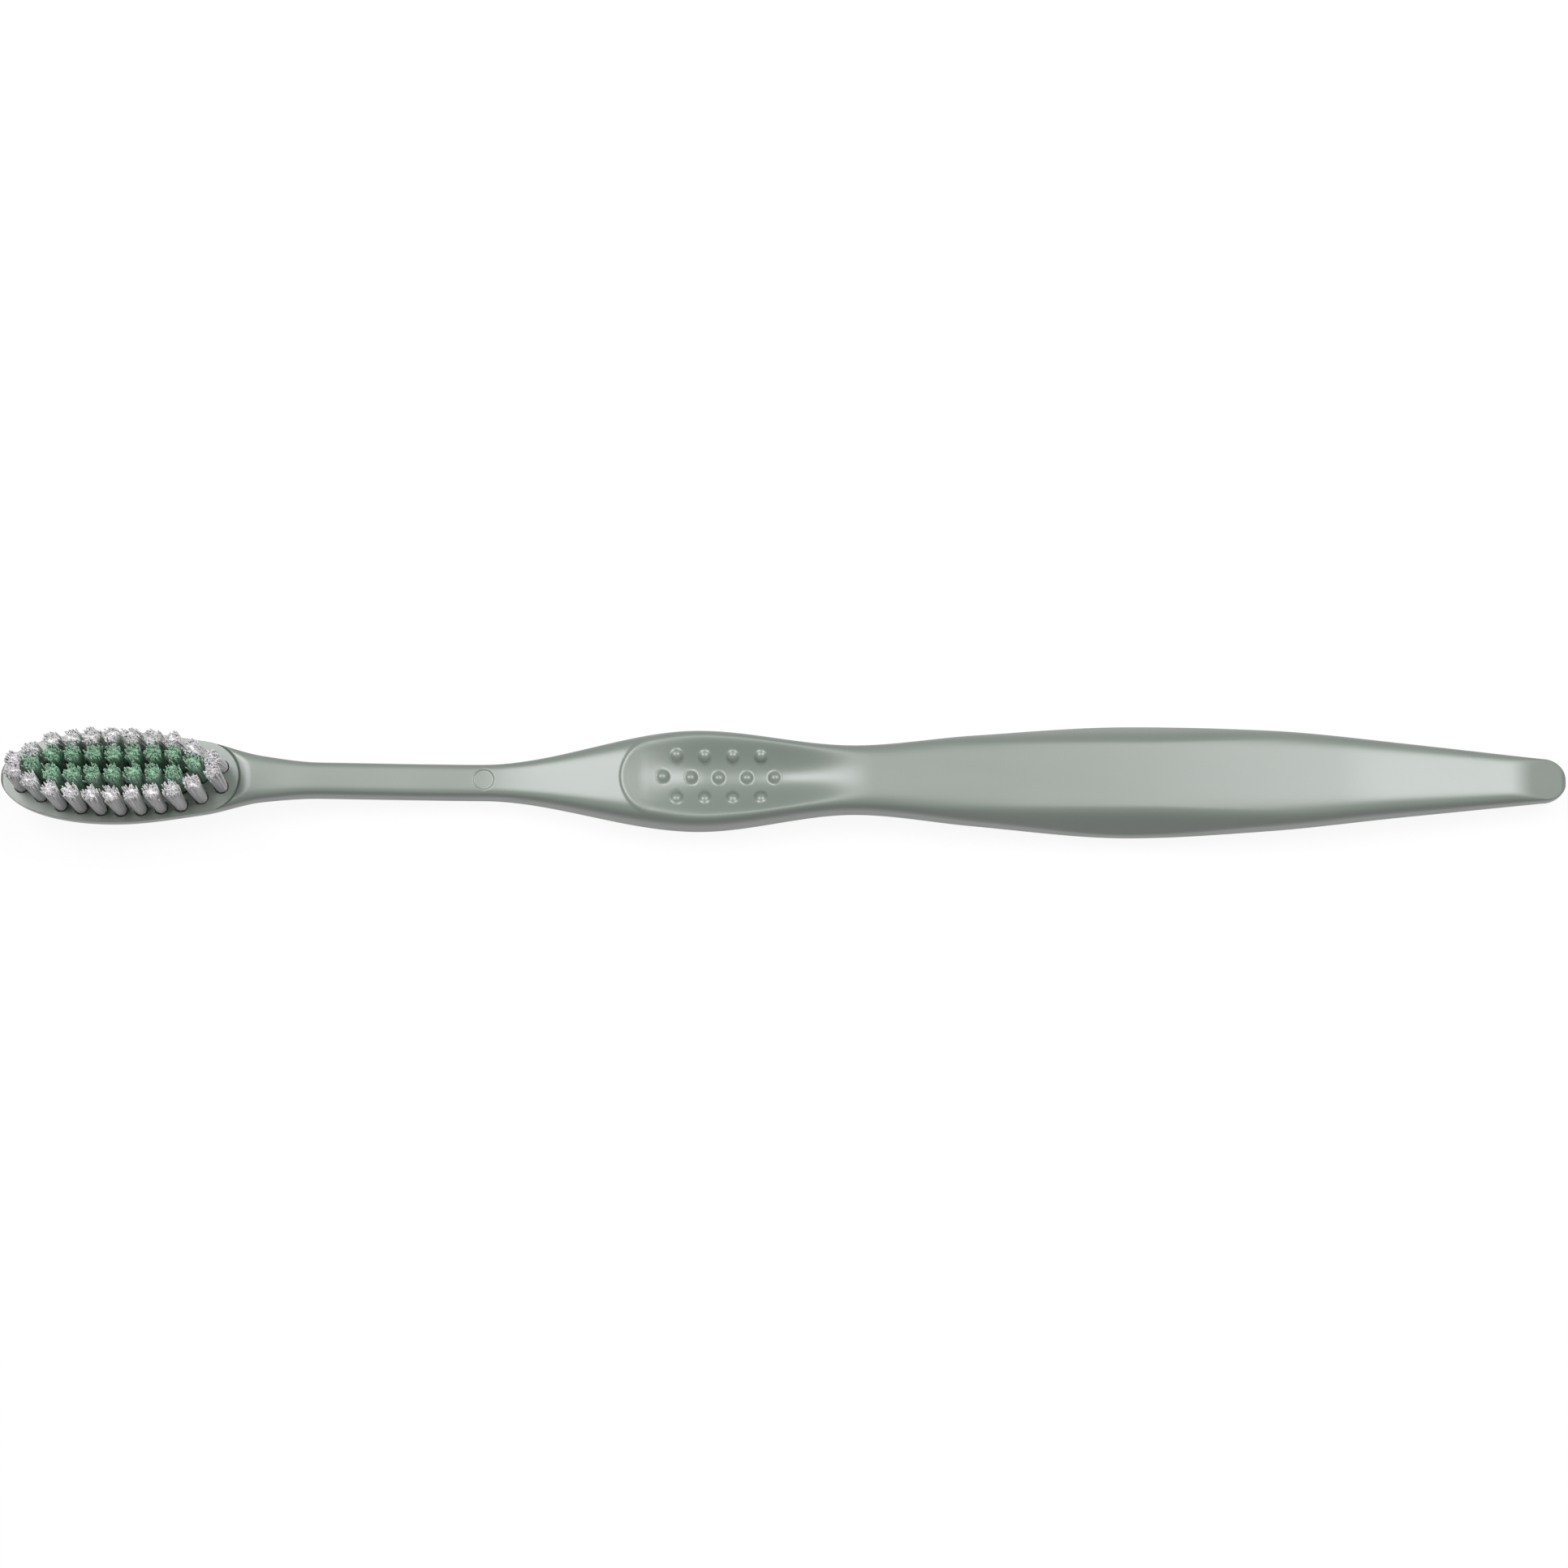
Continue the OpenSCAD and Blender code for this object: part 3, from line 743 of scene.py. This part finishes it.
def pearl_plastic():
    """Satin sage plastic, faintly clouded along its flow and with fine pearl specks."""
    material, tree = new_material("pearl_plastic")
    place = add_node(tree, "ShaderNodeTexCoord").outputs["Object"]
    flow = add_node(tree, "ShaderNodeMapping", {"Vector": place, "Scale": (0.35, 1, 1)})
    clouds = noise(tree, flow.outputs["Vector"], Scale=170, Detail=3, Roughness=0.55)
    specks = noise(tree, place, Scale=5200, Detail=1)
    faint = add_node(tree, "ShaderNodeMath", {0: specks, 1: 0.2}, operation="MULTIPLY")
    mixed = add_node(tree, "ShaderNodeMath", {0: clouds, 1: 0.8, 2: faint.outputs[0]},
                     operation="MULTIPLY_ADD")
    fill(tree.nodes["Principled BSDF"], {
        "Base Color": color_ramp(tree, mixed.outputs[0], PLASTIC_COLORS),
        "Roughness": map_range(tree, clouds, low=0.33, high=0.39),
        "Normal": bump(tree, specks, strength=0.06, distance=0.00003),
        "Specular IOR Level": 0.9,
    })
    return material


def nylon(name, root, tip, end):
    """Filament nylon: its colour changes up the tuft, where the colours at the roots and at the
    ends are painted light and shade, and a little from filament to filament.
    """
    material, tree = new_material(name)
    along = add_node(tree, "ShaderNodeAttribute", attribute_name="along").outputs["Fac"]
    tone = add_node(tree, "ShaderNodeAttribute", attribute_name="tone").outputs["Fac"]
    # Painted light and shade up the tuft: the colour at the roots is set against the shade among
    # the tufts, and the darker end colour is painted shade on the lit tips
    color = color_ramp(tree, along, [(0.0, root), (0.75, tip), (0.95, tip), (1.0, end)])
    shade = map_range(tree, tone, low=0.86, high=1.08)
    varied = add_node(tree, "ShaderNodeVectorMath", {0: color, 1: shade}, operation="MULTIPLY")
    fill(tree.nodes["Principled BSDF"], {
        "Base Color": varied.outputs["Vector"],
        "Roughness": 0.45,
        "Specular IOR Level": 0.4,
    })
    return material


def anchor_metal():
    """Bright brass strip with fine rolling marks."""
    material, tree = new_material("anchor_brass")
    place = add_node(tree, "ShaderNodeTexCoord").outputs["Object"]
    rolled = add_node(tree, "ShaderNodeMapping", {"Vector": place, "Scale": (1, 1, 12)})
    marks = noise(tree, rolled.outputs["Vector"], Scale=2500, Detail=2)
    fill(tree.nodes["Principled BSDF"], {
        "Base Color": color_ramp(tree, marks, BRASS_COLORS),
        "Roughness": 0.28,
        "Metallic": 1,
        "Normal": bump(tree, marks, strength=0.1, distance=0.00002),
    })
    return material


def seen_directly(tree):
    """1 for rays from the camera, reflections and refractions, else 0."""
    path = add_node(tree, "ShaderNodeLightPath")
    total = path.outputs["Is Camera Ray"]
    for kind in ("Is Glossy Ray", "Is Transmission Ray"):
        pair = {0: total, 1: path.outputs[kind]}
        total = add_node(tree, "ShaderNodeMath", pair, operation="MAXIMUM").outputs[0]
    return total


def add_floor():
    """Plain floor: nearly white to the eye, with the object's shadow, and dim to the light."""
    size = FLOOR_REACH
    corners = [(-size, -size, 0), (size, -size, 0), (size, size, 0), (-size, size, 0)]
    floor = new_object("floor", corners, [(0, 1, 2, 3)], smooth=False)
    floor.location.z = -FLOOR_GAP * MM
    material, tree = new_material("floor")
    tree.nodes.clear()
    dim = add_node(tree, "ShaderNodeBsdfDiffuse", {"Color": (0.12, 0.12, 0.12, 1)})
    pale = add_node(tree, "ShaderNodeBsdfDiffuse", {"Color": (0.95, 0.95, 0.95, 1)})
    glow = add_node(tree, "ShaderNodeEmission", {"Strength": 1})
    lifted = add_node(tree, "ShaderNodeMixShader", {
        "Fac": FLOOR_GLOW_SHARE, 1: pale.outputs[0], 2: glow.outputs[0]})
    chosen = add_node(tree, "ShaderNodeMixShader", {
        "Fac": seen_directly(tree), 1: dim.outputs[0], 2: lifted.outputs[0]})
    add_node(tree, "ShaderNodeOutputMaterial", {"Surface": chosen.outputs[0]})
    floor.data.materials.append(material)


def add_world():
    """Soft light from all sides, white where it is seen directly."""
    world = bpy.data.worlds.new("studio")
    bpy.context.scene.world = world
    world.use_nodes = True
    tree = world.node_tree
    strength = map_range(tree, seen_directly(tree), low=WORLD_LIGHT, high=1)
    fill(tree.nodes["Background"], {"Color": (1, 1, 1, 1), "Strength": strength})


def add_lamp(name, place, size, power):
    """Square soft light that faces the middle of the brush, its place in millimetres."""
    data = bpy.data.lights.new(name, "AREA")
    data.size = size * MM
    data.energy = power
    lamp = bpy.data.objects.new(name, data)
    lamp.location = Vector(place) * MM
    lamp.rotation_euler = (-lamp.location).to_track_quat("-Z", "Y").to_euler()
    bpy.context.collection.objects.link(lamp)


def add_camera():
    """Camera at the photo's angle: high above the near side, square on to the brush."""
    elevation = math.radians(79.5)
    distance = 660
    seen_width = 191
    aim = Vector((-0.15, -0.1, 3.1))
    data = bpy.data.cameras.new("camera")
    data.sensor_width = 36
    data.lens = data.sensor_width * distance / seen_width
    camera = bpy.data.objects.new("camera", data)
    back = Vector((0, -math.cos(elevation), math.sin(elevation)))
    camera.location = (aim + back * distance) * MM
    camera.rotation_euler = (-back).to_track_quat("-Z", "Y").to_euler()
    bpy.context.collection.objects.link(camera)
    bpy.context.scene.camera = camera


def dress(obj, material, slot, *nodes):
    """Give a piece its material and its place in the model."""
    obj.data.materials.clear()
    obj.data.materials.append(material)
    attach(obj, BODY)
    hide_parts(*nodes)


plastic = pearl_plastic()
white = nylon("white_filament", *WHITE_TONES_WITH_PAINTED_LIGHT_AND_SHADE)
green = nylon("green_filament", *GREEN_TONES_WITH_PAINTED_SHADE)

handle = make_handle()
cut(handle, make_hole_cutter())
handle.data.set_sharp_from_angle(angle=math.radians(60))
dress(handle, plastic, "sage_plastic", "handle")

rng = np.random.default_rng(7)
for color, material, places in (("white", white, WHITE_PLACES), ("green", green, GREEN_PLACES)):
    far_lean, near_lean = LEANS[color]
    for number, (place, y) in enumerate(places, 1):
        lean_x, lean_y = far_lean if y > 0 else near_lean
        if place == FIRST_COL:
            lean_x += TOE_LEAN
        tuft = make_tuft(f"{color}_bristles_{number:02d}", place, y, (lean_x, lean_y), rng)
        dress(tuft, material, f"{color}_nylon", f"{color}_tuft_{number:02d}")

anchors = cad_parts["tuft_anchors"]
for slot in anchors.material_slots:
    slot.material = anchor_metal()

add_floor()
add_world()
add_lamp("left", (-280, 130, 620), size=300, power=2.95)
add_lamp("right", (280, 130, 620), size=300, power=2.95)
add_camera()
bpy.context.scene.view_settings.view_transform = "Standard"
